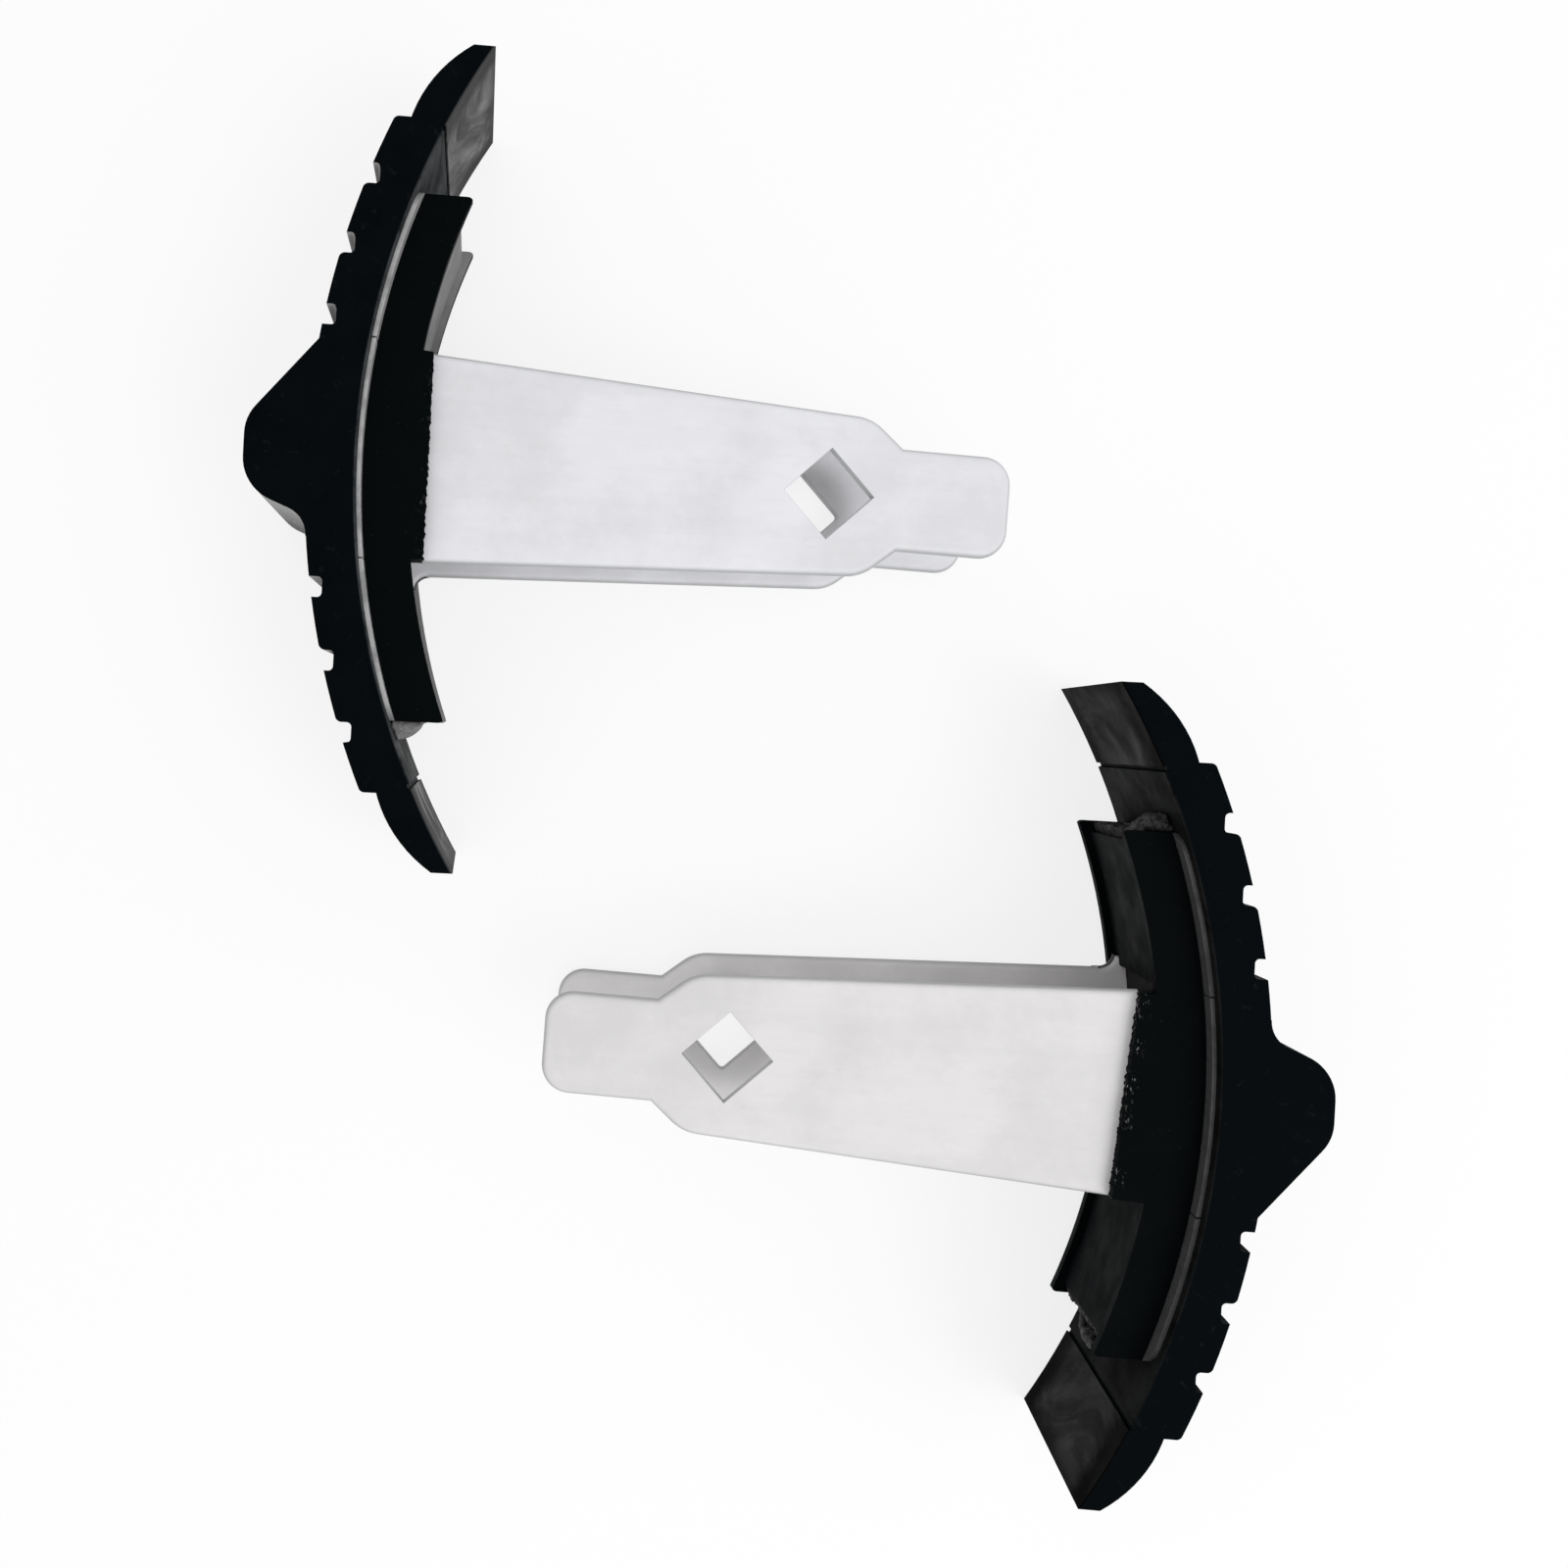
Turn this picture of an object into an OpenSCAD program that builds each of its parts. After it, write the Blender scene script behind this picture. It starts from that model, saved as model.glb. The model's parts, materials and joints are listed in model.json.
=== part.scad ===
// A pair of curved, lugged shoes. Each is a black band on a light two-plate arm
// with a square hole. Both lie down, arms pointing past each other, and each rests
// on the tips of its band and on the end of its tab.
// Millimetres. +Z is up, the shoes rest on Z = 0, and the origin is on the floor
// under the middle of the pair. A shoe is drawn with the crown of the band's inner
// face at its own origin, the arm along +X and the middle of its width at Z = 0.

/* [Band] */
// Width of the band from its top face to its bottom face
band_w = 84; // [74:1:96]
// Radius of the band's hollow inner face
inner_r = 263.5; // [250:0.5:280]
// Thickness of the band over the lugs
lug_t = 16.5; // [14:0.5:20]
// Depth of the notches between lugs
notch_depth = 4; // [2:0.25:6]
// Length of each notch along the tread
notch_w = 6.8; // [4:0.2:9]
// Angle from the middle of the band to its first notch
notch_first = 9.3; // [8.9:0.1:10]
// Angle from each notch to the next
notch_pitch = 5.05; // [4:0.05:5.2]
// Distance from the middle of the band to the flat ends of its lugged part
step_reach = 112.6; // [108:0.2:116]
// Distance from the middle of the band to the flat ends of its tips
tip_reach = 138.3; // [130:0.1:146]
// Thickness of the band just outside the step
tip_root_t = 11.4; // [9:0.1:12]
// Thickness at the very end of the tip
tip_end_t = 6.2; // [3:0.1:8]

/* [Nose] */
// Height of the nose over the lugs
nose_h = 20.4; // [18:0.1:24]
// Where the long flank of the nose runs out, measured along the tread
nose_foot = 37; // [32:0.5:38]

/* [Base strips] */
// Width of the base strips that line the band
base_w = 76; // [66:1:80]
// Thickness of the base strips
base_t = 1.5; // [1:0.1:3]
// Hairline joint between neighbouring strips
base_joint = 0.5; // [0.2:0.1:1]

/* [Side flanges] */
// Half the length of the side flanges
flange_half = 89.6; // [80:0.1:92]
// How far the flanges and the arm root sit off the band's middle
flange_shift = 1.3; // [0:0.1:4]
// Height of the flanges off the base strips
flange_h = 15.5; // [13:0.5:18]
// Thickness of each flange
flange_t = 4; // [2:0.5:6]
// How far the flange skin of the left shoe runs out over the arm, from the band
left_cover = 23.5; // [21:0.5:30]
// How far the flange skin of the right shoe runs out over the arm, from the band
right_cover = 27.5; // [21:0.5:30]

/* [Arm] */
// Distance from the band's inner face to the middle of the square hole
hole_reach = 163; // [150:0.5:175]
// How far the middle of the hole sits off the band's middle line
hole_drop = 1.1; // [0:0.1:3]
// Side of the square hole, a seven-eighths inch shaft and a little play
hole_side = 22.5; // [18:0.1:24]
// Corner radius of the hole in the bottom plate
hole_round = 1.5; // [0.5:0.1:3]
// Distance over the outer faces of the two arm plates
stack_w = 56; // [50:1:64]
// Thickness of each arm plate
plate_t = 5; // [3:0.5:7]
// Half the width of the arm at the square hole
arm_half = 28.6; // [26:0.1:31]
// How much each edge of the arm spreads towards the band, in degrees
arm_spread = 3; // [2:0.1:4]
// Lean of the arm off the band's middle line, in degrees
arm_lean = 1.35; // [0:0.05:3]
// Half the width of the rounded tab
tab_half = 18; // [15:0.5:20]
// Distance from the middle of the hole to the end of the tab
tab_reach = 64.8; // [56:0.2:75]
// Corner radius of the tab
tab_round = 10; // [4:0.5:12]

/* [Core and webs] */
// Height of the core between the flanges
core_h = 11; // [8:0.5:12]
// Radius of the rounded core ends
core_end_r = 9.5; // [7:0.1:11]
// Width of the rounded core end that shows high, on the low side of the arm
core_high_end_w = 18; // [12:1:24]
// Width of the rounded core end that shows low, on the high side of the arm
core_low_end_w = 36; // [20:1:40]
// How far the webs are set back from the edges of the flanges
web_sink = 2.5; // [1:0.1:3]

/* [Pair] */
// Distance of each shoe's crown from the middle of the pair, along X
pair_x = 146.5; // [140:0.5:190]
// Distance of each shoe's crown from the middle of the pair, along Y
pair_y = 108.2; // [104:0.1:160]
// Turn of both shoes as they lie, in degrees
pair_turn = 3; // [0:0.1:6]

/* [Hidden] */
$fn = 64;
arc_fn = 240;
lug_r = inner_r + lug_t;
floor_r = lug_r - notch_depth;
base_r = inner_r - base_t;
flange_r = base_r - flange_h;
upper_end = flange_shift + flange_half;
lower_end = flange_shift - flange_half;
plate_z = stack_w / 2 - plate_t;
// the two rounds of the nose's top and the hollow round at its short flank's foot
nose_long_r = 14.5;
nose_long_y = 4.2;
nose_short_r = 15;
nose_short_y = -3.4;
nose_short_turn = 20;
nose_fillet_r = 9.5;
nose_fillet_y = -28.6;
nose_fillet_sink = 1.3;
// how far the tip's outer side swells over a straight taper, and the facets of its curve
tip_bulge = 2.65;
tip_steps = 10;
// the angle by which that curve starts inside the lugged part
tip_start = 0.4;
// how far a rounding circle runs past the faces that it would otherwise only touch
graze = 0.04;
// how far helper outlines run past the face that trims them
lap = 5;
// the shoulders, where the arm narrows to the tab
shoulder_r = 16;
shoulder_turn = 40;
shoulder_foot = 25.5;
// where the arm's edges meet the base, half its width there and the middle of it
root_x = -175;
root_half = arm_half + (hole_reach - base_t) * tan(arm_spread);
root_shift = (hole_reach - base_t) * tan(arm_lean) - hole_drop;
// how far the skin of a flange stands in from the arm's own edges
skin_inset = 0.6;
base_corner = 7;
flange_corner = 2;
lug_corner = 2.4;
notch_corner = 1.6;
groove_w = 1.8;
groove_depth = 1.2;
weld_r = 5;
// how far the webs stop short of the joints in the base and of the flanges' ends
web_clear = 0.5;
web_stop = 4;
// how far the rounded core ends stand past the arm plates' outer faces
core_end_proud = 2;
// how far the middle of a core end lies off the band and inside the flanges' ends
core_end_in = 3;
far = 400;

// the angle of the step, where the tip's outer side leaves the lugs
step_angle = asin(step_reach / (inner_r + tip_root_t));
// how a shoe rests: tipped until the tab's lower edge is as low as the band's tips
tip_x = inner_r - sqrt(inner_r * inner_r - tip_reach * tip_reach);
tab_x = hole_reach + tab_reach;
rest_tilt = atan((band_w - stack_w) / 2 / (tab_x - tip_x));
rest_h = tip_x * sin(rest_tilt) + band_w / 2 * cos(rest_tilt);

// the point at a radius and an angle of the arc, the angle growing towards +Y
function polar(r, a) = [inner_r - r * cos(a), r * sin(a)];

// the point where a line from p touches a circle, on the side of it that s names
function touch(p, c, r, s) =
    let (d = c - p, l = norm(d), t = atan2(d[1], d[0]) + s * asin(r / l))
    p + sqrt(l * l - r * r) * [cos(t), sin(t)];

module disc(r) {
    translate([inner_r, 0]) circle(r, $fn = arc_fn);
}

// a piece of a ring between two radii and two angles
module ring(r0, r1, a0, a1) {
    k = r1 / cos((a1 - a0) / 2) + 1;
    intersection() {
        difference() {
            disc(r1);
            disc(r0);
        }
        polygon([polar(0, 0), polar(k, a0), polar(k, a1)]);
    }
}

// everything between two heights across the band
module between(y0, y1) {
    translate([-far / 2, y0]) square([far, y1 - y0]);
}

// the sliver that rounds a square corner at the origin, whose body lies in +X +Y
module corner_sliver(r) {
    difference() {
        translate([-1, -1]) square(r + 1);
        translate([r, r]) circle(r);
    }
}

module rounded_square(w, r) {
    square([w, w - 2 * r], center = true);
    square([w - 2 * r, w], center = true);
    for (x = [-1, 1], y = [-1, 1])
        translate([x * (w / 2 - r), y * (w / 2 - r)]) circle(r);
}

module notch() {
    translate([-far, -notch_w / 2]) square([far - notch_corner, notch_w]);
    translate([-far, notch_corner - notch_w / 2])
        square([far, notch_w - 2 * notch_corner]);
    for (s = [-1, 1])
        translate([-notch_corner, s * (notch_w / 2 - notch_corner)]) circle(notch_corner);
}

module nose_outline() {
    top_x = -lug_t - nose_h;
    long_c = [top_x + nose_long_r, nose_long_y];
    short_c = [top_x + nose_short_r, nose_short_y];
    foot = [polar(lug_r, asin(nose_foot / lug_r))[0], nose_foot];
    long_p = touch(foot, long_c, nose_long_r, -1);
    aside = [sin(nose_short_turn), cos(nose_short_turn)];
    short_p = short_c - nose_short_r * aside;
    fillet_c = [nose_fillet_sink - lug_t - nose_fillet_r, nose_fillet_y];
    inside = -lug_t / 3;
    difference() {
        union() {
            translate(long_c) circle(nose_long_r);
            translate(short_c) circle(nose_short_r);
            polygon([[inside, nose_foot], foot, long_p, [top_x, long_c[1]], [top_x, short_c[1]],
                short_p, fillet_c + nose_fillet_r * aside, fillet_c + [nose_fillet_r, 0],
                [inside, fillet_c[1]]]);
        }
        translate(fillet_c) circle(nose_fillet_r);
    }
}

// thickness of the tip, from its root at 0 to its end at 1
function tip_t(s) = tip_root_t + (tip_end_t - tip_root_t) * s + 4 * tip_bulge * s * (1 - s);

module tip_outline() {
    start = step_angle - tip_start;
    sweep = asin(tip_reach / (inner_r + tip_end_t)) - start;
    outer = [for (i = [0 : tip_steps])
        polar(inner_r + tip_t(i / tip_steps), start + sweep * i / tip_steps)];
    root = [polar(inner_r - lap, step_angle - 1), polar(inner_r + tip_root_t, step_angle - 1)];
    difference() {
        polygon(concat(outer, [[tip_x + lap, tip_reach]], root));
        disc(inner_r);
    }
}

// what rounds the corner between the lugs' outer face and a flat end at height y
module lug_rounding(y) {
    turn = asin((y - lug_corner) / (lug_r - lug_corner));
    centre = polar(lug_r - lug_corner, turn);
    out = polar(lug_r + 1, turn);
    difference() {
        polygon([centre, out, [out[0], y + 1], [centre[0], y + 1]]);
        translate(centre) circle(lug_corner + graze);
    }
}

module half_tread_outline() {
    difference() {
        union() {
            intersection() {
                ring(inner_r, lug_r, 0, step_angle + 2);
                between(-1, step_reach);
            }
            tip_outline();
        }
        for (i = [0 : 2]) {
            a = notch_first + i * notch_pitch;
            translate([polar(floor_r, a)[0], lug_r * sin(a)]) notch();
            if (i > 0) lug_rounding(lug_r * sin(a) - notch_w / 2);
        }
        lug_rounding(step_reach);
        translate(polar(inner_r, step_angle + 0.4)) rotate(-step_angle)
            square([2 * groove_depth, groove_w], center = true);
    }
}

module tread() {
    color("#1d2326") translate([0, 0, -band_w / 2]) linear_extrude(band_w) {
        half_tread_outline();
        mirror([0, 1]) half_tread_outline();
        nose_outline();
    }
}

// what rounds the two corners of a base strip at one end, side being +1 or -1
module strip_corners(end, side) {
    rotate([0, -90, 0]) translate([0, 0, -far / 2]) linear_extrude(far)
        for (s = [0, 1]) mirror([s, 0]) translate([-base_w / 2, end])
            mirror([0, side > 0 ? 1 : 0]) difference() {
                translate([-1, -1]) square(base_corner + 1);
                translate([base_corner, base_corner]) circle(base_corner + graze);
            }
}

// one strip of the base, rounded at its free end: +1 for the high end, -1 for the low end
module base_strip(y0, y1, free) {
    color("#8f9193") difference() {
        translate([0, 0, -base_w / 2]) linear_extrude(base_w) intersection() {
            ring(base_r, inner_r, -30, 30);
            between(y0, y1);
        }
        if (free != 0) strip_corners(free > 0 ? y1 : y0, free);
    }
}

// the arm's own line: the middle of the hole at the origin, the tab towards +X
module on_arm() {
    translate([hole_reach, -hole_drop]) rotate(-arm_lean) children();
}

// half the width of the arm at a distance from the middle of the hole
function half_at(x) = arm_half - x * tan(arm_spread);

module arm_outline(inset) {
    slope = tan(shoulder_turn);
    corner_x = (tab_half + shoulder_foot * slope - arm_half) / (slope - tan(arm_spread));
    corner = [corner_x, half_at(corner_x)];
    run = shoulder_r * tan((shoulder_turn - arm_spread) / 2);
    back = corner - run * [cos(arm_spread), -sin(arm_spread)];
    on = corner + run * [cos(shoulder_turn), -sin(shoulder_turn)];
    centre = back - shoulder_r * [sin(arm_spread), cos(arm_spread)];
    root = half_at(root_x) - inset;
    difference() {
        polygon([[root_x, -root], [root_x, root], corner - [0, inset], [shoulder_foot, tab_half],
            [tab_reach, tab_half], [tab_reach, -tab_half], [shoulder_foot, -tab_half],
            [corner[0], inset - corner[1]]]);
        for (s = [0, 1]) mirror([0, s]) {
            difference() {
                polygon([back, corner + [0, 2], on]);
                translate(centre) circle(shoulder_r);
            }
            translate([tab_reach, tab_half]) rotate(180) corner_sliver(tab_round);
        }
    }
}

// the foot of the bottom plate spreads into the flange with a small radius
module root_flare() {
    start = inner_r - flange_r + 3 - hole_reach;
    for (s = [0, 1]) mirror([0, s]) difference() {
        translate([start - 2 * weld_r, half_at(start) - weld_r])
            square([3 * weld_r, 2 * weld_r]);
        translate([start + weld_r, half_at(start) + weld_r]) circle(weld_r);
    }
}

module plate_blank(side) {
    linear_extrude(plate_t) arm_outline(0);
    if (side < 0) linear_extrude(plate_t) root_flare();
}

module arm_plate(side) {
    color("#e6e5e6") translate([0, 0, side > 0 ? plate_z : -plate_z - plate_t])
        difference() {
            intersection() {
                on_arm() plate_blank(side);
                linear_extrude(plate_t) disc(base_r);
            }
            on_arm() translate([0, 0, -1]) rotate(45) linear_extrude(plate_t + 2) {
                if (side > 0) square(hole_side, center = true);
                if (side < 0) rounded_square(hole_side, hole_round);
            }
        }
}

module flange_outline() {
    difference() {
        intersection() {
            ring(flange_r, base_r, -30, 30);
            between(lower_end, upper_end);
        }
        for (e = [upper_end, lower_end])
            translate([inner_r - sqrt(flange_r * flange_r - e * e), e])
                mirror([0, e > 0 ? 1 : 0]) mirror([1, 0]) corner_sliver(flange_corner);
    }
}

// the part of the flange's skin that runs out over the arm
module skin_outline(cover) {
    intersection() {
        on_arm() arm_outline(skin_inset);
        translate([base_t + 3, -far / 2]) square([cover - base_t - 3, far]);
    }
}

module flange(side, cover) {
    color("#15191b") translate([0, 0, side > 0 ? stack_w / 2 : -stack_w / 2 - flange_t]) {
        linear_extrude(flange_t) flange_outline();
        linear_extrude(flange_t) skin_outline(cover);
    }
}

module core() {
    color("#a3a5a6") {
        difference() {
            translate([0, 0, -stack_w / 2]) linear_extrude(stack_w) intersection() {
                ring(base_r - core_h, base_r, -30, 30);
                between(lower_end, upper_end);
            }
            for (side = [1, -1])
                translate([0, 0, side > 0 ? plate_z : -plate_z - plate_t])
                    on_arm() plate_blank(side);
        }
        translate([0, 0, -stack_w / 2 - core_end_proud]) linear_extrude(core_low_end_w)
            core_end(upper_end, 1);
        translate([0, 0, stack_w / 2 + core_end_proud - core_high_end_w])
            linear_extrude(core_high_end_w)
                core_end(lower_end, -1);
    }
}

// the rounded end of the core that stands past the flanges' end e, towards +Y or -Y
module core_end(e, way) {
    middle_r = inner_r - core_end_in;
    middle_y = e - way * core_end_in;
    intersection() {
        translate([inner_r - sqrt(middle_r * middle_r - middle_y * middle_y), middle_y])
            circle(core_end_r);
        disc(inner_r);
        between(way > 0 ? e : e - core_end_r, way > 0 ? e + core_end_r : e);
    }
}

// the wall that closes the gap between the flanges on the arm's side, a little set back
module web(y0, y1) {
    color("#14181a") difference() {
        translate([0, 0, -stack_w / 2]) linear_extrude(stack_w) intersection() {
            ring(flange_r + web_sink, base_r - core_h, -30, 30);
            between(y0, y1);
        }
        for (side = [1, -1])
            translate([0, 0, side > 0 ? plate_z : -plate_z - plate_t])
                on_arm() plate_blank(side);
    }
}

module place(side) {
    rotate(side == "left" ? 0 : 180) translate([-pair_x, pair_y, rest_h])
        rotate([0, rest_tilt, -pair_turn]) children();
}

module shoe_piece(side, piece) {
    joint_high = root_shift + root_half;
    joint_low = root_shift - root_half;
    cover = side == "left" ? left_cover : right_cover;
    place(side) {
        if (piece == "tread") tread();
        if (piece == "base_upper")
            base_strip(joint_high + base_joint / 2, upper_end, 1);
        if (piece == "base_middle")
            base_strip(joint_low + base_joint / 2, joint_high - base_joint / 2, 0);
        if (piece == "base_lower")
            base_strip(lower_end, joint_low - base_joint / 2, -1);
        if (piece == "top_flange") flange(1, cover);
        if (piece == "bottom_flange") flange(-1, cover);
        if (piece == "top_arm_plate") arm_plate(1);
        if (piece == "bottom_arm_plate") arm_plate(-1);
        if (piece == "web_upper") web(joint_high + web_clear, upper_end - web_stop);
        if (piece == "web_lower") web(lower_end + web_stop, joint_low - web_clear);
        if (piece == "core") core();
    }
}

module left_tread() shoe_piece("left", "tread");
module left_base_upper() shoe_piece("left", "base_upper");
module left_base_middle() shoe_piece("left", "base_middle");
module left_base_lower() shoe_piece("left", "base_lower");
module left_top_flange() shoe_piece("left", "top_flange");
module left_bottom_flange() shoe_piece("left", "bottom_flange");
module left_top_arm_plate() shoe_piece("left", "top_arm_plate");
module left_bottom_arm_plate() shoe_piece("left", "bottom_arm_plate");
module left_web_upper() shoe_piece("left", "web_upper");
module left_web_lower() shoe_piece("left", "web_lower");
module left_core() shoe_piece("left", "core");
module right_tread() shoe_piece("right", "tread");
module right_base_upper() shoe_piece("right", "base_upper");
module right_base_middle() shoe_piece("right", "base_middle");
module right_base_lower() shoe_piece("right", "base_lower");
module right_top_flange() shoe_piece("right", "top_flange");
module right_bottom_flange() shoe_piece("right", "bottom_flange");
module right_top_arm_plate() shoe_piece("right", "top_arm_plate");
module right_bottom_arm_plate() shoe_piece("right", "bottom_arm_plate");
module right_web_upper() shoe_piece("right", "web_upper");
module right_web_lower() shoe_piece("right", "web_lower");
module right_core() shoe_piece("right", "core");

left_tread();
left_base_upper();
left_base_middle();
left_base_lower();
left_top_flange();
left_bottom_flange();
left_top_arm_plate();
left_bottom_arm_plate();
left_web_upper();
left_web_lower();
left_core();
right_tread();
right_base_upper();
right_base_middle();
right_base_lower();
right_top_flange();
right_bottom_flange();
right_top_arm_plate();
right_bottom_arm_plate();
right_web_upper();
right_web_lower();
right_core();
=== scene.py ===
import json
import math

import bmesh
import bpy
from mathutils import Matrix, Vector, noise
from mathutils.geometry import tessellate_polygon


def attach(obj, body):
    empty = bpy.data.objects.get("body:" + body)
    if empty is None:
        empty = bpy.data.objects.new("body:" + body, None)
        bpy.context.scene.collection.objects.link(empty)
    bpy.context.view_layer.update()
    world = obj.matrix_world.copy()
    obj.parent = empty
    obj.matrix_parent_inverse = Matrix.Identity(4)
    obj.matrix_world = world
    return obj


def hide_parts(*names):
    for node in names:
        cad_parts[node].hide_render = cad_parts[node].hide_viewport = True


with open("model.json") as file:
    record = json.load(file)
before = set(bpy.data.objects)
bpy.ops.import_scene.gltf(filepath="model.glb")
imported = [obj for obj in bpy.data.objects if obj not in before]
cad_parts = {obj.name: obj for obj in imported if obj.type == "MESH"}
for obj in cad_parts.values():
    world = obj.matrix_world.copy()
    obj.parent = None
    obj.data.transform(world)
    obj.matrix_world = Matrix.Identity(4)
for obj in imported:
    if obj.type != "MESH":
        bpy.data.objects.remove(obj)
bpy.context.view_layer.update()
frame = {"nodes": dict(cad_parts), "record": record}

MM = 0.001
SIDES = ("left", "right")
MOUNTS = {m["name"]: m for m in frame["record"]["mounts"]}
SLOTS = {s["node"]: s["material_slot"] for s in frame["record"]["subparts"]}

# Lengths below are in millimetres unless said otherwise. These are the part's own: where
# the square hole lies in the shoe's axes, the band's inner radius, and how far the
# flanges' coat covers the arm.
HOLE_REACH = 163
HOLE_DROP = 1.1
BAND_R = 263.5
COVER = {"left": 23.5, "right": 27.5}

# the coat's edge over the arm: its slant (forward per sideways), its teeth's reach and
# how often it is cut for them
SLANT = {"left": 0.0, "right": 0.09}
RAGGED = 0.8
TEETH_CUTS = 110

# how far edges are rounded, in how many steps the plates' rims are, and within what
# distance a point counts as lying in a plane
TREAD_EDGE = 0.8
FLANGE_EDGE = 0.5
STRIP_EDGE = 0.25
WEB_EDGE = 0.4
PLATE_RIM = 2.4
HOLE_RIM = 0.5
RIM_STEPS = 5
TOUCH = 0.05

# the cores' rough ends: grain of the mesh, where they start, their dents' depth and size
GRAIN = 0.9
CORE_SHOWS = 80
CORE_FADE = 6
ROUGH_ENDS = {"left": 0.15, "right": 0.9}
DENT_SIZE = 3.5

# the strands at one end of the right core: sideways offsets, thickness, faces around
# and along
STRANDS = (-3, 0, 3)
STRAND_R = 1.7
STRAND_AROUND = 12
STRAND_ALONG = 48

# where paint changes: degrees round the band at which the tip's dust starts and ends,
# half the coat's width over the arm and how far back its flecks reach, and where the
# core shows past the flanges
DUST_STARTS = (24.3, 24.8)
DUST_ENDS = (29.5, 32.4)
COAT_HALF = 36.5
FLECK_REACH = 4.5
CORE_PALE = (82, 88)

# paint levels in which the two shoes differ. The tips' dust and how dim it is at the band's rims
# also carry painted light: lighter on the left shoe, which is lit, darker on the right, which is
# shaded
DUST_AND_LIGHT = {"left": 0.19, "right": 0.034}
RIM_DIM = {"left": 0.30, "right": 0.02}
# the painted sheen on the tread's flanks that look toward -Y: strong on the left shoe, faint on
# the right
PAINTED_SHEEN = {"left": 0.42, "right": 0.012}
FLECKS = {"left": 0.12, "right": 0.7}
STRIP = {"left": 0.50, "right": 0.085}
# the painted shade on the plates' inner faces between the plates, around the hole
GAP_SHADE = {"left": 0.70, "right": 0.40}
PAINT = {"left": (0.790, 0.790, 0.822), "right": (0.760, 0.745, 0.750)}
CORE = {"left": 0.27, "right": 0.038}
CORE_SPREAD = {"left": 0.15, "right": 0.75}

# how far from the hole's middle the painted shade on the plates' inner faces, between the plates,
# is full, and where it ends
GAP_SHADE_FULL = 14
GAP_SHADE_END = 26

# how much of the floor's white is its own, and the world's strength on the pair
GLOW = 0.8
WORLD_LIGHT = 0.75
FLOOR_HALF_M = 2.5


def shoe_axes(side):
    """The shoe's own axes: the crown of the band at the origin, the arm along +X."""
    top, edge, hole = (Vector(MOUNTS[f"{side}_{n}"]["pos_m"])
                       for n in ("band_top", "band_edge", "square_hole"))
    z = (top - edge).normalized()
    middle = (top + edge) / 2
    along = hole - middle
    reach = along.length / MM
    lean = math.asin(HOLE_DROP / reach)
    x = Matrix.Rotation(lean, 3, z) @ along.normalized()
    y = z.cross(x)
    axes = Matrix((x, y, z)).transposed().to_4x4()
    axes.translation = hole - x * HOLE_REACH * MM + y * HOLE_DROP * MM
    return axes


AXES = {side: shoe_axes(side) for side in SIDES}


# ---------------------------------------------------------------- materials

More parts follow.
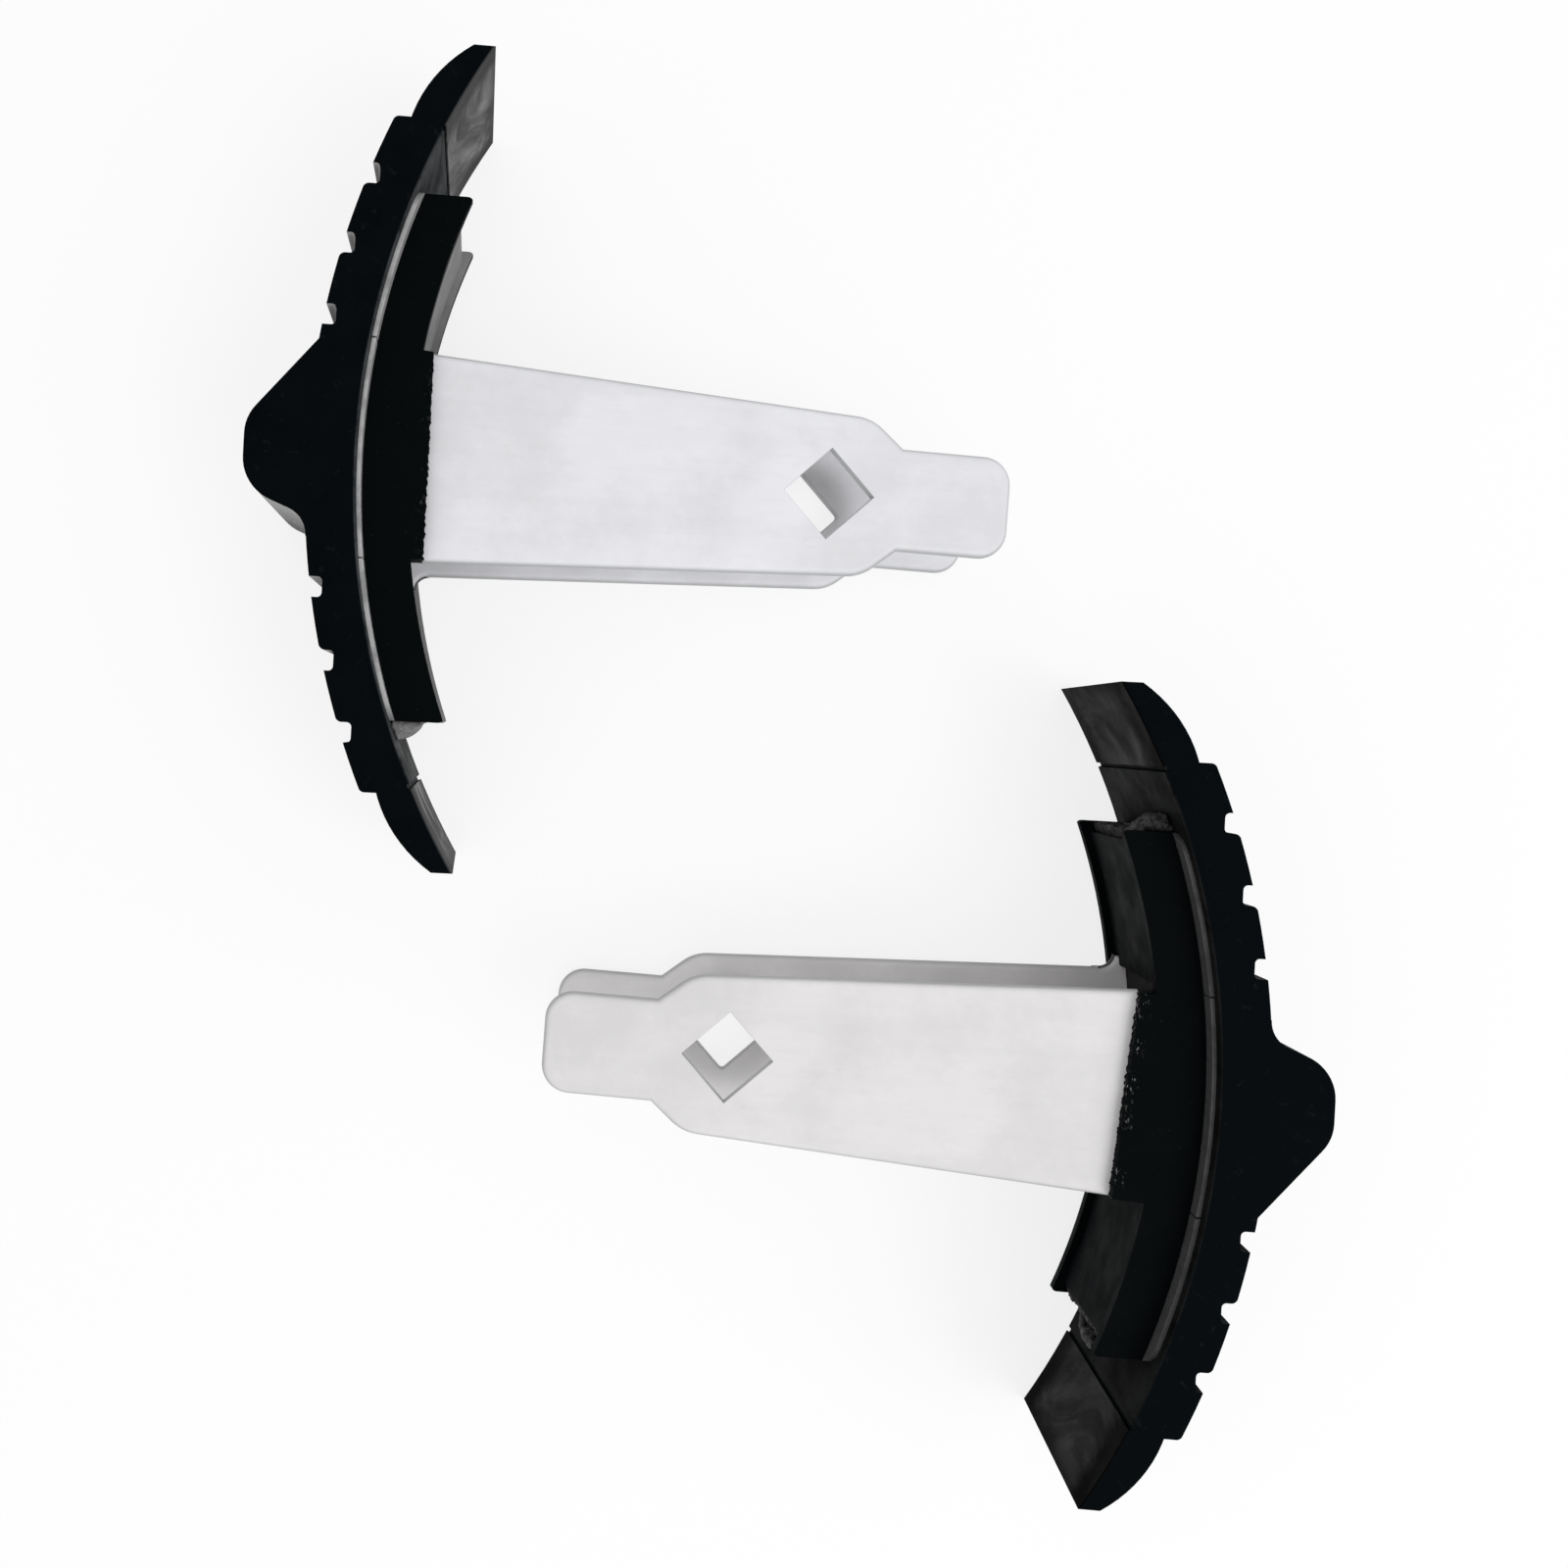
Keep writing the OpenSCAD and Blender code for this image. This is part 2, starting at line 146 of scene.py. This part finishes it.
class Shader:
    """A small helper that adds nodes to one material, or to the world, and joins them."""

    def __init__(self, name, axes=None, world=None):
        if world:
            self.tree = world.node_tree
            return
        self.material = bpy.data.materials.new(name)
        self.material.use_nodes = True
        self.tree = self.material.node_tree
        self.surface = self.tree.nodes["Principled BSDF"]
        self.place = self.add("ShaderNodeTexCoord").outputs["Object"]
        if axes:
            turn = self.add("ShaderNodeMapping", vector_type="TEXTURE")
            self.join(self.place, turn.inputs["Vector"])
            turn.inputs["Location"].default_value = axes.translation
            turn.inputs["Rotation"].default_value = axes.to_euler()
            self.place = turn.outputs["Vector"]
        normal = self.add("ShaderNodeSeparateXYZ")
        self.join(self.add("ShaderNodeNewGeometry").outputs["Normal"], normal.inputs[0])
        # the face's own direction along world Y and Z
        self.forth, self.up = normal.outputs[1:3]

    def add(self, kind, **settings):
        node = self.tree.nodes.new(kind)
        for key, value in settings.items():
            setattr(node, key, value)
        return node

    def join(self, value, socket):
        if isinstance(value, bpy.types.NodeSocket):
            self.tree.links.new(value, socket)
        else:
            socket.default_value = value

    def noise(self, scale, detail=4.0, rough=0.55, stretch=None, warp=0.0):
        where = self.place
        if stretch:
            turn = self.add("ShaderNodeMapping")
            self.join(where, turn.inputs["Vector"])
            turn.inputs["Scale"].default_value = stretch
            where = turn.outputs["Vector"]
        node = self.add("ShaderNodeTexNoise")
        self.join(where, node.inputs["Vector"])
        node.inputs["Scale"].default_value = scale
        node.inputs["Detail"].default_value = detail
        node.inputs["Roughness"].default_value = rough
        node.inputs["Distortion"].default_value = warp
        return node.outputs["Fac"]

    def cells(self, scale):
        """Distance to the nearest of many scattered points."""
        node = self.add("ShaderNodeTexVoronoi")
        self.join(self.place, node.inputs["Vector"])
        node.inputs["Scale"].default_value = scale
        return node.outputs["Distance"]

    def limits(self, value, low, high, out_low=0.0, out_high=1.0):
        """A smooth step from out_low at low to out_high at high. low may be the larger."""
        node = self.add("ShaderNodeMapRange", interpolation_type="SMOOTHSTEP")
        self.join(value, node.inputs["Value"])
        for socket, number in zip(("From Min", "From Max", "To Min", "To Max"),
                                  (low, high, out_low, out_high)):
            self.join(number, node.inputs[socket])
        return node.outputs["Result"]

    def math(self, kind, a, b=0.0):
        node = self.add("ShaderNodeMath", operation=kind)
        self.join(a, node.inputs[0])
        self.join(b, node.inputs[1])
        return node.outputs[0]

    def both(self, *masks):
        """The product of several masks or shares."""
        result = masks[0]
        for mask in masks[1:]:
            result = self.math("MULTIPLY", result, mask)
        return result

    def length(self, a, b):
        """The length of the line from 0 to (a, b)."""
        squares = self.math("ADD", self.both(a, a), self.both(b, b))
        return self.math("POWER", squares, 0.5)

    def mix(self, share, a, b):
        node = self.add("ShaderNodeMix", data_type="RGBA")
        self.join(share, node.inputs["Factor"])
        for value, socket in ((a, node.inputs[6]), (b, node.inputs[7])):
            self.join((*value, 1.0) if isinstance(value, tuple) else value, socket)
        return node.outputs[2]

    def axis(self, index):
        """One coordinate of the shoe's own axes, in metres."""
        node = self.add("ShaderNodeSeparateXYZ")
        self.join(self.place, node.inputs[0])
        return node.outputs[index]

    def seen(self):
        """1 for what the camera sees itself, in a reflection or through glass."""
        rays = self.add("ShaderNodeLightPath").outputs
        return self.math("MAXIMUM", rays["Is Camera Ray"],
                         self.math("MAXIMUM", rays["Is Glossy Ray"], rays["Is Transmission Ray"]))

    def reach(self, side):
        """Distance along the arm, measured square to the coat's slanted edge."""
        return self.math("SUBTRACT", self.axis(0), self.both(self.axis(1), SLANT[side]))

    def within(self, index, half, soft):
        """1 between -half and half along an axis, fading to 0 over a soft width."""
        size = self.math("ABSOLUTE", self.axis(index))
        return self.limits(size, half, half - soft)

    def bump(self, *layers):
        """Layers of (height, distance in metres), one on the other."""
        normal = None
        for height, distance in layers:
            node = self.add("ShaderNodeBump")
            node.inputs["Distance"].default_value = distance
            self.join(height, node.inputs["Height"])
            if normal:
                self.join(normal, node.inputs["Normal"])
            normal = node.outputs["Normal"]
        self.join(normal, self.surface.inputs["Normal"])

    def finish(self, colour, rough, metal=0.0, shine=0.5):
        """Puts the looks on the surface: nodes are joined, numbers are set on its sockets."""
        if isinstance(colour, tuple):
            colour = (*colour, 1.0)
        self.join(colour, self.surface.inputs["Base Color"])
        self.join(rough, self.surface.inputs["Roughness"])
        self.join(metal, self.surface.inputs["Metallic"])
        self.join(shine, self.surface.inputs["Specular IOR Level"])
        return self.material


def grey(level, blue=0.0):
    """A grey, with a share more of blue and half of that of green."""
    return (level, level * (1 + blue / 2), level * (1 + blue))


def tread_rubber(side):
    """Near-black moulded rubber. Dust lies on the tips' inner faces, painted lighter on the left
    shoe and darker on the right as painted light, and dimmer towards the band's rims; short of it
    the inner face has a painted sheen. A painted sheen, pale grey, also lies on those flanks of
    the nose and the lugs that look toward -Y."""
    s = Shader(f"{side}_tread_rubber", AXES[side])
    mottle = s.noise(70, 5)
    scuff = s.limits(s.noise(260, 3, 0.6, (1, 1, 0.10), 0.6), 0.62, 0.74)
    base = s.mix(mottle, (0.0010, 0.0017, 0.0022), (0.0026, 0.0042, 0.0052))
    colour = s.mix(s.both(scuff, 0.03), base, grey(0.12))

    x = s.math("SUBTRACT", BAND_R * MM, s.axis(0))
    y = s.axis(1)
    radius = s.length(x, y)
    turn = s.math("ARCTAN2", s.math("ABSOLUTE", y), x)
    inner = s.limits(radius, (BAND_R + 0.9) * MM, (BAND_R + 0.2) * MM)
    beyond = s.limits(turn, *map(math.radians, DUST_STARTS))
    cloud = s.limits(s.noise(38, 6, 0.6, (1, 1, 0.5), 1.4), 0.34, 0.72)
    wiped = s.limits(s.noise(190, 4, 0.7, (1, 1, 0.10), 0.8), 0.60, 0.72)
    # the tips' inner faces are painted dimmer towards the band's rims
    middle = s.math("ADD", s.within(2, 0.040, 0.020), s.both(cloud, 0.4))
    before_tip = s.limits(turn, *map(math.radians, reversed(DUST_ENDS)))
    middle = s.both(s.limits(middle, 0.25, 1.1), before_tip)
    # dust and painted light: the tips' grey is lighter on the left shoe, which is lit, than on
    # the right, which is shaded
    dust_and_light = DUST_AND_LIGHT[side]
    dust_and_light_colour = s.mix(cloud, grey(dust_and_light * 0.35), grey(dust_and_light * 1.5))
    dust_and_light_colour = s.mix(s.both(wiped, 0.35), dust_and_light_colour, grey(dust_and_light * 3.0))
    dust_and_light_colour = s.mix(middle, grey(dust_and_light * RIM_DIM[side]), dust_and_light_colour)
    # painted sheen: the inner face short of the dust is a sheen grey, scaled with the same
    # painted light
    inner_sheen = s.mix(cloud, grey(dust_and_light * 0.05, 0.2), grey(dust_and_light * 0.35, 0.1))
    colour = s.mix(inner, colour, s.mix(beyond, inner_sheen, dust_and_light_colour))
    # painted sheen: flanks that look toward -Y (world) are painted pale grey, lighter towards +Z
    sheen_level = PAINTED_SHEEN[side]
    sheen_colour = s.mix(s.limits(s.axis(2), -0.040, 0.036), grey(sheen_level * 0.35), grey(sheen_level))
    outer = s.limits(radius, (BAND_R + 2) * MM, (BAND_R + 6) * MM)
    facing = s.limits(s.math("ADD", s.forth, s.both(cloud, 0.1)), -0.35, -0.80)
    colour = s.mix(s.both(outer, facing), colour, sheen_colour)

    rough = s.limits(mottle, 0.3, 0.7, 0.45, 0.62)
    s.bump((s.noise(900, 3), 0.00005), (s.noise(45, 4), 0.00025), (scuff, 0.00004))
    return s.finish(colour, rough, shine=0.01)


def flange_skin(side, painted_light=None):
    """Black coat, thin and flecked near its ragged edge over the arm. Its last argument names the
    faces painted a lit grey as painted light: those that look up, or all of them."""
    s = Shader(f"{side}_flange_skin" + (f"_{painted_light}" if painted_light else ""), AXES[side])
    mottle = s.noise(80, 5)
    base = s.mix(mottle, (0.0006, 0.0014, 0.0017), (0.0022, 0.0033, 0.0037))
    cover = COVER[side] * MM
    near_edge = s.limits(s.reach(side), cover - FLECK_REACH * MM, cover)
    over_arm = s.within(1, COAT_HALF * MM, 1 * MM)
    sparse = s.limits(s.noise(90, 3), 0.46, 0.62)
    fleck = s.both(sparse, s.limits(s.noise(900, 3, 0.7, (1, 0.5, 1)), 0.58, 0.64))
    colour = s.mix(s.both(near_edge, over_arm, fleck, FLECKS[side]), base, grey(0.34))
    greyed = s.limits(s.noise(600, 2, 0.5, (1, 1, 0.2)), 0.70, 0.76)
    colour = s.mix(s.both(greyed, 0.03), colour, grey(0.20))
    if painted_light:
        # painted light: a lit grey on the chosen faces
        painted_light_grey = s.mix(s.noise(140, 5), grey(0.19), grey(0.33))
        share = s.limits(s.up, 0.5, 0.8) if painted_light == "above" else 1.0
        colour = s.mix(share, colour, painted_light_grey)
    s.bump((s.noise(650, 4), 0.00006), (s.noise(70, 4), 0.0002))
    return s.finish(colour, s.limits(mottle, 0.3, 0.7, 0.50, 0.68), shine=0.02)


def base_steel(side):
    """Thin metal strip, dull and stained."""
    s = Shader(f"{side}_base_steel", AXES[side])
    brushed = s.noise(500, 3, 0.6, (1, 1, 0.04))
    stain = s.limits(s.noise(110, 5), 0.40, 0.70)
    tone = STRIP[side]
    clean = s.mix(brushed, grey(tone * 0.8), grey(tone * 1.2))
    colour = s.mix(s.both(stain, 0.6), clean, grey(tone * 0.4))
    s.bump((brushed, 0.00006), (s.noise(260, 3), 0.0001))
    return s.finish(colour, s.limits(stain, 0, 1, 0.42, 0.62), metal=0.3, shine=0.4)


def arm_paint(side):
    """Light paint, clouded and brushed along the arm, specked, with painted shade: grey on its
    rounded rim, and grey on the plates' inner faces around the hole, between the plates.
    The flange's black coat runs down its walls under the flange."""
    s = Shader(f"{side}_arm_paint", AXES[side])
    tone = PAINT[side]
    cloud = s.limits(s.noise(22, 6, 0.62), 0.36, 0.66)
    brushed = s.limits(s.noise(170, 5, 0.65, (0.10, 1, 1)), 0.35, 0.75)
    grain = s.noise(330, 4, 0.7, (0.4, 1, 1))
    speck = s.limits(s.cells(240), 0.02, 0.09, 1.0, 0.0)
    clean = s.mix(cloud, tuple(0.93 * c for c in tone), tuple(min(0.9, 1.05 * c) for c in tone))
    colour = s.mix(s.both(brushed, 0.16), clean, grey(0.62))
    colour = s.mix(s.both(s.limits(grain, 0.50, 0.72), 0.12), colour, grey(0.60))
    colour = s.mix(s.both(speck, 0.12), colour, grey(0.30))
    # painted shade: faces that do not look straight up or down, on the rounded rim, are painted
    # grey
    rim_shade = s.limits(s.math("ADD", s.math("ABSOLUTE", s.up), s.both(grain, 0.12)), 1.03, 0.55)
    colour = s.mix(s.both(rim_shade, 0.7), colour, (0.40, 0.41, 0.41))
    beside = s.math("SUBTRACT", s.axis(0), HOLE_REACH * MM)
    above = s.math("ADD", s.axis(1), HOLE_DROP * MM)
    # painted shade between the plates: their inner faces are painted grey around the hole
    inward = s.limits(s.both(s.axis(2), s.up), -0.012, -0.018)
    near_hole = s.limits(s.length(beside, above), GAP_SHADE_END * MM, GAP_SHADE_FULL * MM)
    greyed = s.both(near_hole, inward, s.limits(cloud, 0, 1, 0.8, 1.0))
    colour = s.mix(s.both(greyed, GAP_SHADE[side]), colour, grey(0.20))
    under = s.limits(s.reach(side), COVER[side] * MM, (COVER[side] - 0.6) * MM)
    not_inward = s.limits(s.both(s.axis(2), s.up), -0.018, -0.012)
    colour = s.mix(s.both(under, not_inward), colour, grey(0.003))
    s.bump((grain, 0.00007), (s.noise(60, 3), 0.0002))
    return s.finish(colour, s.limits(cloud, 0, 1, 0.42, 0.55), shine=0.35)


def core_filler(side):
    """Filler that is dark inside the gap and grey, with pale spots, at its ends."""
    s = Shader(f"{side}_core_filler", AXES[side])
    lump = s.limits(s.noise(320, 5, 0.7), 0.36, 0.64)
    spot = s.limits(s.noise(480, 3), 0.60, 0.64)
    pit = s.limits(s.noise(210, 4, 0.6), 0.46, 0.40)
    tone = CORE[side]
    spread = CORE_SPREAD[side]
    ends = s.mix(lump, grey(tone * (1 - spread)), grey(tone * (1 + spread)))
    ends = s.mix(s.both(spot, spread), ends, grey(min(0.7, tone * 3)))
    ends = s.mix(s.both(pit, spread), ends, grey(tone * 0.15))
    past = s.limits(s.math("ABSOLUTE", s.axis(1)), *(MM * y for y in CORE_PALE))
    colour = s.mix(past, grey(0.004), ends)
    s.bump((lump, 0.0004), (s.noise(700, 3), 0.0001))
    return s.finish(colour, 0.7, shine=0.15)


MATERIALS = {(make.__name__, side): make(side) for side in SIDES
             for make in (tread_rubber, flange_skin, base_steel, arm_paint, core_filler)}
# painted light: the left shoe's bottom flange, where it looks up, and its upper web are painted a
# lit grey
PAINTED_LIGHT_FACES = {"left_bottom_flange": flange_skin("left", "above"),
        "left_web_upper": flange_skin("left", "all")}


# ------------------------------------------------------------------- pieces

def solid_of(side, node):
    """The CAD node in the shoe's own axes."""
    solid = bmesh.new()
    cad = frame["nodes"][node]
    solid.from_mesh(cad.data)
    solid.transform(AXES[side].inverted() @ cad.matrix_world)
    bmesh.ops.remove_doubles(solid, verts=solid.verts, dist=0.01 * MM)
    return solid


def piece(name, side, node, solid):
    """A new piece that stands for a CAD node, made from a bmesh in the shoe's axes."""
    mesh = bpy.data.meshes.new(name)
    solid.transform(AXES[side])
    solid.to_mesh(mesh)
    solid.free()
    obj = bpy.data.objects.new(name, mesh)
    bpy.context.scene.collection.objects.link(obj)
    slot = SLOTS[node]
    mesh.materials.append(PAINTED_LIGHT_FACES.get(node) or MATERIALS[slot, side])
    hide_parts(node)
    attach(obj, "root")
    return obj


def ease(obj, width, steps=3, angle=30):
    """Rounds the piece's edges and shades it smooth."""
    bevel = obj.modifiers.new("eased_edges", "BEVEL")
    bevel.width = width * MM
    bevel.segments = steps
    bevel.limit_method = "ANGLE"
    bevel.angle_limit = math.radians(angle)
    bevel.harden_normals = True
    for face in obj.data.polygons:
        face.use_smooth = True
    obj.data.set_sharp_from_angle(angle=math.radians(angle))


def dress_tread(side):
    """The band, with eased edges."""
    node = f"{side}_tread"
    ease(piece(f"{side}_tread_moulding", side, node, solid_of(side, node)), TREAD_EDGE)


def on_line(vert, x):
    """Whether a vertex lies in the plane at x, across the arm."""
    return abs(vert.co.x - x) < TOUCH * MM


def ragged_skin(solid, side):
    """Breaks up the skin's straight edge over the arm. Its teeth run down the edge's wall."""
    cover = COVER[side] * MM
    edges = [e for e in solid.edges if all(on_line(v, cover) for v in e.verts)
             and abs(e.verts[0].co.z - e.verts[1].co.z) < TOUCH * MM]
    walls = [f for f in solid.faces if all(on_line(v, cover) for v in f.verts)]
    bmesh.ops.delete(solid, geom=walls, context="FACES_ONLY")
    bmesh.ops.subdivide_edges(solid, edges=edges, cuts=TEETH_CUTS)
    rows = {}
    for v in solid.verts:
        if on_line(v, cover):
            rows.setdefault(round(v.co.z / MM, 1), []).append(v)
    low, high = (sorted(rows[z], key=lambda v: v.co.y) for z in sorted(rows))
    for pair in zip(low, high):
        y = pair[0].co.y / MM
        tooth = noise.noise(Vector((y * 0.9, 3.1, 0)))
        tooth += 0.6 * noise.noise(Vector((y * 2.3, 0, 5)))
        for v in pair:
            v.co.x += tooth * RAGGED * MM + v.co.y * SLANT[side]
    for a, b, c, d in zip(low, low[1:], high[1:], high):
        solid.faces.new((a, b, c, d))
    bmesh.ops.recalc_face_normals(solid, faces=solid.faces)


def dress_flange(side, level):
    """A flange in its coat, whose edge over the arm is ragged."""
    node = f"{side}_{level}_flange"
    solid = solid_of(side, node)
    ragged_skin(solid, side)
    ease(piece(f"{side}_{level}_flange_coated", side, node, solid), FLANGE_EDGE, 2)


def rim_loops(solid, height):
    """The outline and the hole of a flat plate at a height, as two ordered loops."""
    level = [v for v in solid.verts if abs(v.co.z - height) < TOUCH * MM]
    inside = set(level)
    ahead = {}
    for face in solid.faces:
        if all(v in inside for v in face.verts):
            for loop in face.loops:
                edge = loop.edge
                if not all(v in inside for f in edge.link_faces for v in f.verts):
                    ahead[loop.vert] = loop.link_loop_next.vert
    loops = []
    while ahead:
        vert = next(iter(ahead))
        ring = []
        while vert in ahead:
            ring.append(vert.co.xy.copy())
            vert = ahead.pop(vert)
        loops.append(ring)
    return sorted(loops, key=len_around, reverse=True)


def len_around(ring):
    """The length of a closed loop."""
    return sum((a - b).length for a, b in zip(ring, ring[1:] + ring[:1]))


def moved_in(ring, distance):
    """The loop moved to its left, that is into the plate, corner by corner."""
    result = []
    for before, here, after in zip(ring[-1:] + ring[:-1], ring, ring[1:] + ring[:1]):
        a, b = (here - before).normalized(), (after - here).normalized()
        side_a, side_b = Vector((-a.y, a.x)), Vector((-b.y, b.x))
        middle = (side_a + side_b).normalized()
        result.append(here + middle * distance / max(0.5, middle.dot(side_a)))
    return result


def dress_arm_plate(side, level):
    """A plate whose outline is softly rounded and whose hole is crisp."""
    node = f"{side}_{level}_arm_plate"
    blank = solid_of(side, node)
    heights = [v.co.z for v in blank.verts]
    low, high = min(heights), max(heights)
    rings = rim_loops(blank, high)
    blank.free()
    solid = bmesh.new()
    caps = {"low": [], "high": []}
    for ring, width in zip(rings, (PLATE_RIM, HOLE_RIM)):
        deep = min(width, (high - low) / MM / 2) * MM
        profile = []
        for step in range(RIM_STEPS + 1):
            turn = math.pi / 2 * step / RIM_STEPS
            profile.append((width * MM * (1 - math.sin(turn)), low + deep * (1 - math.cos(turn))))
        profile += [(inset, high + low - z) for inset, z in reversed(profile)]
        layers = [[solid.verts.new((*p, z)) for p in moved_in(ring, inset)]
                  for inset, z in profile]
        for under, over in zip(layers, layers[1:]):
            for k in range(len(ring)):
                nxt = (k + 1) % len(ring)
                solid.faces.new((under[k], under[nxt], over[nxt], over[k]))
        caps["low"].append(layers[0])
        caps["high"].append(layers[-1])
    for cap in caps.values():
        flat = [v for layer in cap for v in layer]
        for corners in tessellate_polygon([[v.co for v in layer] for layer in cap]):
            solid.faces.new([flat[k] for k in corners])
    bmesh.ops.recalc_face_normals(solid, faces=solid.faces)
    obj = piece(f"{side}_{level}_arm_plate_painted", side, node, solid)
    for face in obj.data.polygons:
        face.use_smooth = True
    obj.data.set_sharp_from_angle(angle=math.radians(50))
    obj.modifiers.new("even_faces", "WEIGHTED_NORMAL").keep_sharp = True


def dress_base_strip(side, part):
    """One of the strips that line the band, with eased edges."""
    node = f"{side}_base_{part}"
    ease(piece(f"{side}_base_{part}_strip", side, node, solid_of(side, node)), STRIP_EDGE, 2)


def dress_web(side, part):
    """One of the walls between the flanges, with eased edges."""
    node = f"{side}_web_{part}"
    ease(piece(f"{side}_web_{part}_wall", side, node, solid_of(side, node)), WEB_EDGE, 2)


def dress_core(side):
    """A rough filler: finely meshed, then dented by noise where its ends show."""
    node = f"{side}_core"
    source = bpy.data.objects.new("core_blank", bpy.data.meshes.new("core_blank"))
    blank = solid_of(side, node)
    blank.to_mesh(source.data)
    blank.free()
    bpy.context.scene.collection.objects.link(source)
    remesh = source.modifiers.new("fine", "REMESH")
    remesh.mode = "VOXEL"
    remesh.voxel_size = GRAIN * MM
    fine = source.evaluated_get(bpy.context.evaluated_depsgraph_get()).to_mesh()
    solid = bmesh.new()
    solid.from_mesh(fine)
    bpy.data.objects.remove(source)
    ends = ROUGH_ENDS[side] * MM
    for v in solid.verts:
        share = min(1.0, max(0.0, (abs(v.co.y) - CORE_SHOWS * MM) / (CORE_FADE * MM)))
        dent = noise.fractal(v.co / (DENT_SIZE * MM), 1.0, 2.1, 3)
        v.co -= v.normal * share * ends * (0.5 + dent)
    if side == "right":
        for spread in STRANDS:
            strand(solid, spread)
    for face in solid.faces:
        face.smooth = True
    piece(f"{side}_core_lumpy", side, node, solid)


def strand(solid, spread):
    """One rope-like strand of filler: out of the core beside the band near the bottom
    flange, round past the flanges' ends, and up to the top flange's hollow edge."""
    stops = [Vector(p) for p in ((18, 88, -25), (20 + spread, 95, -25), (25 + spread, 96, -12),
                                 (28 + spread / 2, 95, 4), (31.5, 92.5, 18), (32.5, 90, 26))]
    rings = []
    for k in range(STRAND_ALONG + 1):
        share = k / STRAND_ALONG
        points = [p.copy() for p in stops]
        while len(points) > 1:
            points = [a.lerp(b, share) for a, b in zip(points, points[1:])]
        centre = points[0]
        wobble = noise.noise(centre * 0.35 + Vector((spread, 0, 0)))
        taper = math.sin(math.pi * (0.08 + 0.84 * share)) ** 0.4
        radius = (STRAND_R + 0.5 * wobble) * taper
        ring = []
        for j in range(STRAND_AROUND):
            turn = 2 * math.pi * j / STRAND_AROUND
            out = Vector((math.cos(turn), math.sin(turn), 0.35 * math.sin(turn)))
            ring.append(solid.verts.new((centre + radius * out) * MM))
        rings.append(ring)
    for a, b in zip(rings, rings[1:]):
        for j in range(STRAND_AROUND):
            nxt = (j + 1) % STRAND_AROUND
            solid.faces.new((a[j], a[nxt], b[nxt], b[j]))
    solid.faces.new(rings[0][::-1])
    solid.faces.new(rings[-1])


for side in SIDES:
    dress_tread(side)
    dress_core(side)
    for level in ("top", "bottom"):
        dress_flange(side, level)
        dress_arm_plate(side, level)
    for part in ("upper", "middle", "lower"):
        dress_base_strip(side, part)
    for part in ("upper", "lower"):
        dress_web(side, part)


# -------------------------------------------------- floor, light and camera

def floor():
    """Pale floor: its white is mostly its own, so the pair's shadow on it stays faint."""
    half = FLOOR_HALF_M
    mesh = bpy.data.meshes.new("floor")
    mesh.from_pydata([(-half, -half, 0), (half, -half, 0), (half, half, 0), (-half, half, 0)],
                     [], [(0, 1, 2, 3)])
    obj = bpy.data.objects.new("floor", mesh)
    bpy.context.scene.collection.objects.link(obj)
    s = Shader("floor_white")
    seen = s.seen()
    s.finish(s.mix(seen, grey(0.88), grey(0.99)), 1.0, shine=0.0)
    glow = s.add("ShaderNodeEmission")
    blend = s.add("ShaderNodeMixShader")
    s.join(s.both(seen, GLOW), blend.inputs[0])
    s.join(s.surface.outputs[0], blend.inputs[1])
    s.join(glow.outputs[0], blend.inputs[2])
    s.join(blend.outputs[0], s.tree.nodes["Material Output"].inputs["Surface"])
    mesh.materials.append(s.material)


def lamp(name, place, aim, size, power):
    """A square area lamp at a place in metres, turned to its aim."""
    light = bpy.data.lights.new(name, "AREA")
    light.shape = "SQUARE"
    light.size = size
    light.energy = power
    obj = bpy.data.objects.new(name, light)
    obj.location = place
    obj.rotation_euler = (Vector(aim) - Vector(place)).to_track_quat("-Z", "Y").to_euler()
    bpy.context.scene.collection.objects.link(obj)


def surroundings():
    """An even world that is full white behind the pair and a little dimmer as its light."""
    world = bpy.data.worlds.new("studio")
    world.use_nodes = True
    background = world.node_tree.nodes["Background"]
    background.inputs["Color"].default_value = (1, 1, 1, 1)
    s = Shader("studio", world=world)
    s.join(s.limits(s.seen(), 0, 1, WORLD_LIGHT, 1.0), background.inputs["Strength"])
    bpy.context.scene.world = world


def camera():
    """Straight above, a little to the left of the pair's middle, framed by its shift."""
    data = bpy.data.cameras.new("photo_camera")
    data.sensor_width = 36
    data.lens = 34.6
    data.shift_x = 0.1256
    data.shift_y = -0.0356
    obj = bpy.data.objects.new("photo_camera", data)
    obj.location = (-0.0667, 0.0165, 0.5867)
    bpy.context.scene.collection.objects.link(obj)
    bpy.context.scene.camera = obj


floor()
surroundings()
lamp("key", (0.9, -0.7, 1.6), (0, 0, 0), 1.2, 12)
camera()
bpy.context.scene.view_settings.view_transform = "Standard"
